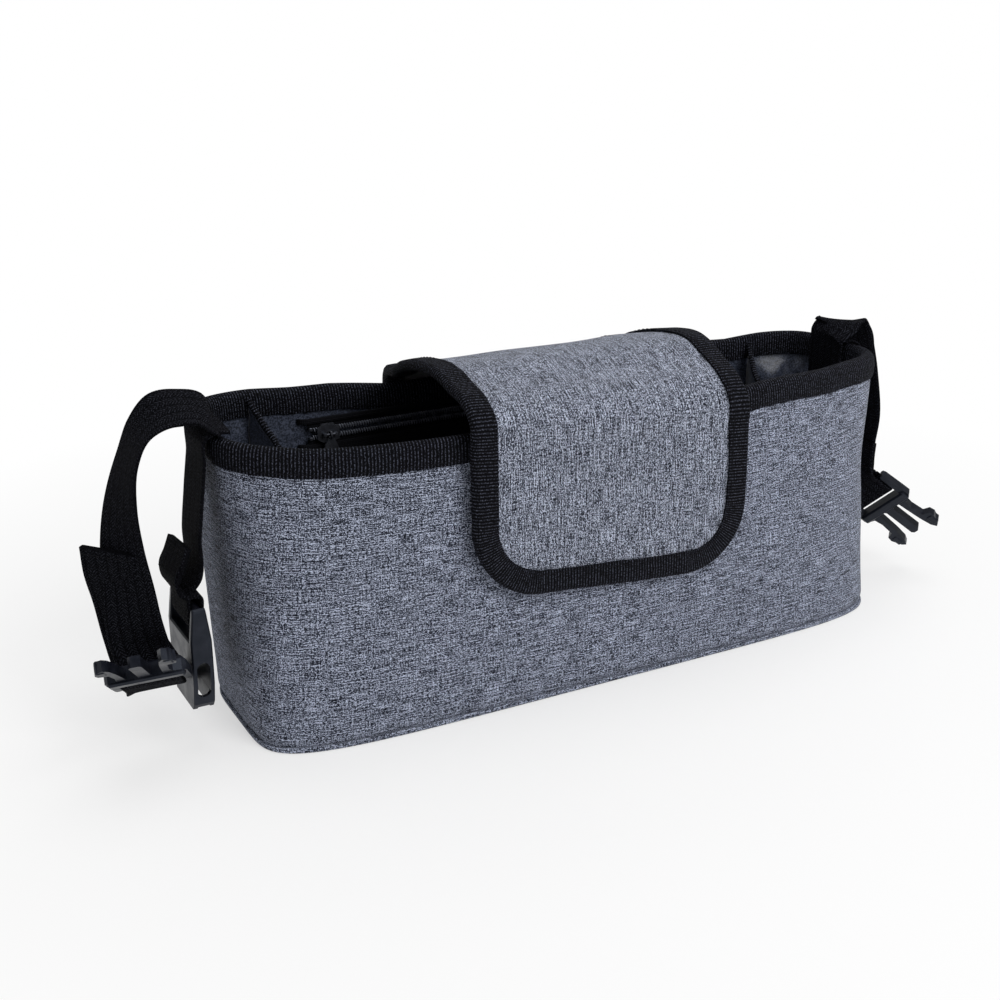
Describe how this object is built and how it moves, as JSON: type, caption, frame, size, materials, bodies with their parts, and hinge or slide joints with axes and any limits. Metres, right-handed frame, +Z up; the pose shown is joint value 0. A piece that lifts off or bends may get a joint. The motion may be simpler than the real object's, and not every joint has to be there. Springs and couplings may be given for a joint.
{
  "type": "stroller organizer",
  "caption": "Padded fabric tub with a front flap, inner dividers, a zip pocket and webbing straps with side-release buckles at both ends.",
  "frame": {"origin": "centre of the underside", "axes": "+X along the length, +Y towards the back wall that carries the zip pocket, +Z up; the flap hangs over the front at -Y"},
  "size_m": [0.4651, 0.1211, 0.1551],
  "materials": {
    "melange_fabric": "grey melange weave, matt",
    "lining_nylon": "black coated nylon, slight sheen",
    "pocket_cloth": "black plain weave, matt",
    "binding_tape": "black grosgrain, matt",
    "webbing": "black herringbone webbing, matt",
    "buckle_plastic": "black moulded acetal, satin",
    "zip_coil": "black nylon coil",
    "zip_metal": "black enamelled zinc",
    "hook_loop": "black hook and loop",
    "stiffener": "thin plastic board"
  },
  "bodies": {
    "bag": {"outer_wall": "melange_fabric", "lining_wall": "lining_nylon", "base_panel": "melange_fabric", "base_board": "stiffener", "lining_floor": "lining_nylon", "rim_binding": "binding_tape", "left_divider": "lining_nylon", "left_divider_piping": "binding_tape", "right_divider": "lining_nylon", "right_divider_piping": "binding_tape", "flap_outer": "melange_fabric", "flap_lining": "lining_nylon", "flap_binding": "binding_tape", "flap_hook_patch": "hook_loop", "front_loop_patch": "hook_loop", "zip_tape_upper": "pocket_cloth", "zip_tape_lower": "pocket_cloth", "zip_teeth_upper": "zip_coil", "zip_teeth_lower": "zip_coil", "pocket_panel": "pocket_cloth", "pocket_top_strip": "pocket_cloth", "zip_top_stop_upper": "zip_metal", "zip_top_stop_lower": "zip_metal", "zip_bottom_stop": "zip_metal", "left_female_buckle": "buckle_plastic", "left_male_buckle": "buckle_plastic", "left_short_strap": "webbing", "left_long_strap": "webbing", "right_female_buckle": "buckle_plastic", "right_male_buckle": "buckle_plastic", "right_short_strap": "webbing", "right_long_strap": "webbing"},
    "slider": {"zip_slider": "zip_metal"},
    "pull": {"zip_pull": "zip_metal"}
  },
  "joints": [
    {"name": "zip_run", "type": "slide", "parent": "bag", "child": "slider", "axis": [1, 0, 0], "range_m": [-0.0015, 0.2105]},
    {"name": "pull_swing", "type": "hinge", "parent": "slider", "child": "pull", "pos_m": [-0.1045, 0.04001, 0.11349], "axis": [-1, 0, 0], "range_deg": [0, 150]}
  ]
}
